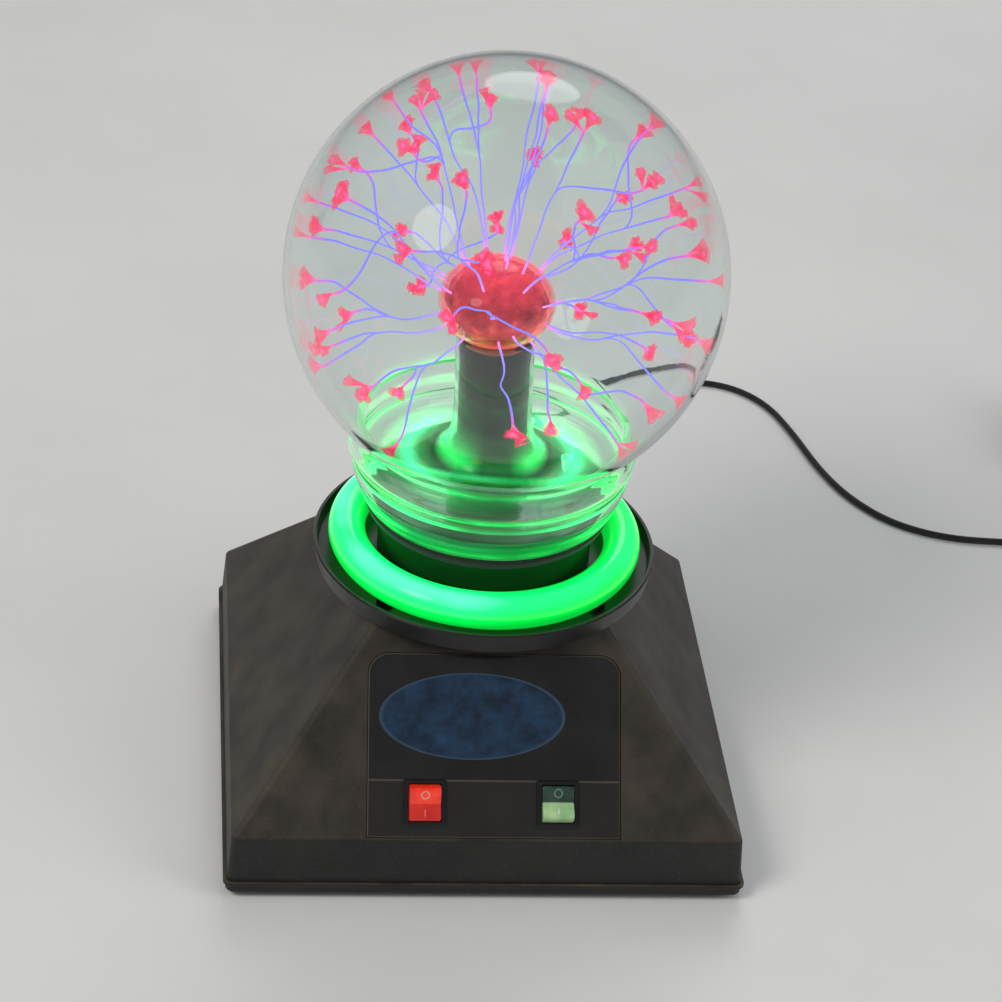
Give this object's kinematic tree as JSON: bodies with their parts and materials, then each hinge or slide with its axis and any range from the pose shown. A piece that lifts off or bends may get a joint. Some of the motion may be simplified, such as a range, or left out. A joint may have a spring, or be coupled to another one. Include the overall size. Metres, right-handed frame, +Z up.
{
  "type": "plasma ball",
  "caption": "Clear glass plasma globe on a square sloped black base with a green ring lamp, a front panel with rocker switches and a low-voltage lead.",
  "frame": {"origin": "centre of the footprint, on the plane the rubber feet rest on", "axes": "+Z up through the globe, front panel faces -Y, +X to the right seen from the front"},
  "size_m": [0.514, 0.4707, 0.3613],
  "materials": {
    "glass": "clear blown glass",
    "electrode_glass": "clear glass, lit red from inside",
    "electrode_filling": "crumpled metal foil glowing red",
    "lamp_glow": "green lit lamp tube",
    "base_plastic": "black textured moulding",
    "tray_plastic": "black satin moulding",
    "panel_plastic": "black gloss plate",
    "label_print": "dark blue print, blank",
    "switch_black": "black moulding",
    "red_plastic": "translucent red",
    "green_plastic": "translucent green",
    "black_rubber": "soft black",
    "steel": "zinc plated",
    "brass": "plain",
    "circuit_board": "brown laminate",
    "ferrite": "dark grey",
    "coil_tape": "black moulded coil",
    "aluminium": "extruded",
    "component_plastic": "black moulded",
    "film_red": "dipped brown-red",
    "header_white": "white nylon",
    "wire_red": "red wire cover",
    "wire_grey": "grey wire cover",
    "cord_black": "black wire cover",
    "adapter_plastic": "black moulding"
  },
  "bodies": {
    "base": {"glass_globe": "glass", "glass_stem": "glass", "exhaust_tip": "glass", "electrode_bulb": "electrode_glass", "electrode_wool": "electrode_filling", "ring_lamp": "lamp_glow", "base_shell": "base_plastic", "bottom_tray": "base_plastic", "lamp_tray": "tray_plastic", "globe_pedestal": "tray_plastic", "globe_clamp": "tray_plastic", "lamp_cradles": "tray_plastic", "front_panel": "panel_plastic", "panel_label": "label_print", "power_switch_case": "switch_black", "mode_switch_case": "switch_black", "rubber_feet": "black_rubber", "globe_gasket": "black_rubber", "lamp_sleeve": "black_rubber", "stem_liner": "black_rubber", "strain_relief": "black_rubber", "adapter_relief": "black_rubber", "case_screws": "steel", "tray_screws": "steel", "board_screws": "steel", "switch_tabs": "brass", "stem_contact": "brass", "adapter_pins": "brass", "driver_board": "circuit_board", "transformer_core": "ferrite", "transformer_coil": "coil_tape", "lamp_inverter": "coil_tape", "heat_sink": "aluminium", "capacitors": "aluminium", "power_transistor": "component_plastic", "microphone": "component_plastic", "film_capacitor": "film_red", "wire_headers": "header_white", "power_leads": "wire_red", "hv_lead": "wire_red", "mode_leads": "wire_grey", "lamp_leads": "wire_grey", "cord_run": "cord_black", "cord_coil": "cord_black", "cord_tail": "cord_black", "supply_lead": "cord_black", "adapter_case": "adapter_plastic"},
    "power_key": {"power_rocker": "red_plastic"},
    "mode_key": {"mode_rocker": "green_plastic"}
  },
  "joints": [
    {"name": "power_rocker_pivot", "type": "hinge", "parent": "base", "child": "power_key", "pos_m": [-0.0297, -0.10599, 0.04621], "axis": [1, 0, 0], "range_deg": [-22, 0]},
    {"name": "mode_rocker_pivot", "type": "hinge", "parent": "base", "child": "mode_key", "pos_m": [0.0311, -0.10599, 0.04621], "axis": [1, 0, 0], "range_deg": [0, 22]}
  ]
}
